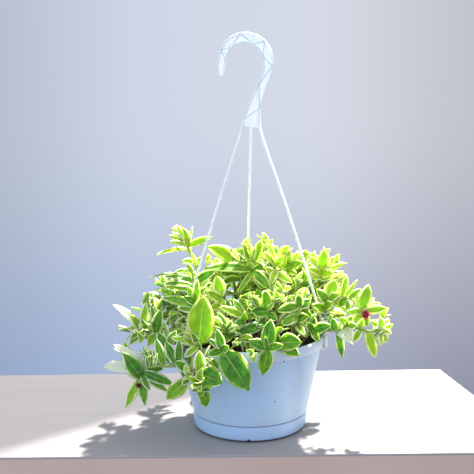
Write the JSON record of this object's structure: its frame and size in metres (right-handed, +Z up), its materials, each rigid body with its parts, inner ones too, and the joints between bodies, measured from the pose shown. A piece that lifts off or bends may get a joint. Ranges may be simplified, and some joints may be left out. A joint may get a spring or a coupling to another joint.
{
  "type": "potted trailing succulent",
  "caption": "Variegated baby sun rose with leafy trailing stems and small blooms, in a round hanging pot with a drip tray and a three-strand hook hanger",
  "frame": {"origin": "middle of the flat underside of the drip tray, on the surface the pot stands on", "axes": "+Z is up along the pot's axis, -Y is the front of the plant and the face of the hook, +X is to the right seen from the front"},
  "size_m": [0.29, 0.2352, 0.4045],
  "materials": {
    "pot": "smooth moulded white plastic",
    "drip_tray": "smooth moulded white plastic",
    "hanger": "white translucent moulded plastic",
    "soil": "crumbly dark potting mix",
    "leafy_stem": "fleshy green leaves with cream margins",
    "bloom": "soft magenta petals"
  },
  "bodies": {
    "root": {"pot": "pot", "drip_tray": "drip_tray", "soil": "soil", "hanger": "hanger", "bloom_right": "bloom", "bloom_left": "bloom", "shoot_top_left": "leafy_stem", "shoot_left_curl": "leafy_stem", "shoot_left_cluster": "leafy_stem", "shoot_big_leaf": "leafy_stem", "shoot_arch": "leafy_stem", "shoot_long_leaf": "leafy_stem", "shoot_gap_left": "leafy_stem", "shoot_top_middle": "leafy_stem", "shoot_top_back": "leafy_stem", "shoot_top_right": "leafy_stem", "shoot_right_round": "leafy_stem", "shoot_right_bloom": "leafy_stem", "shoot_far_right": "leafy_stem", "shoot_right_front": "leafy_stem", "shoot_right_inner": "leafy_stem", "shoot_strand_end": "leafy_stem", "shoot_front_right": "leafy_stem", "shoot_front_cross": "leafy_stem", "shoot_centre": "leafy_stem", "shoot_centre_left": "leafy_stem", "shoot_left_inner": "leafy_stem", "shoot_rim_leaf": "leafy_stem", "shoot_low_front": "leafy_stem", "shoot_low_left": "leafy_stem", "shoot_trail_left": "leafy_stem", "shoot_left_rosette": "leafy_stem", "shoot_left_middle": "leafy_stem", "shoot_left_low": "leafy_stem", "shoot_back_1": "leafy_stem", "shoot_back_2": "leafy_stem", "shoot_back_3": "leafy_stem", "shoot_back_4": "leafy_stem", "shoot_back_5": "leafy_stem", "shoot_back_6": "leafy_stem", "shoot_back_7": "leafy_stem", "shoot_back_8": "leafy_stem", "shoot_back_9": "leafy_stem", "shoot_back_10": "leafy_stem", "shoot_back_11": "leafy_stem", "shoot_middle_1": "leafy_stem", "shoot_middle_2": "leafy_stem", "shoot_middle_3": "leafy_stem", "shoot_middle_4": "leafy_stem", "shoot_middle_5": "leafy_stem", "shoot_middle_6": "leafy_stem", "shoot_middle_7": "leafy_stem"}
  },
  "joints": []
}
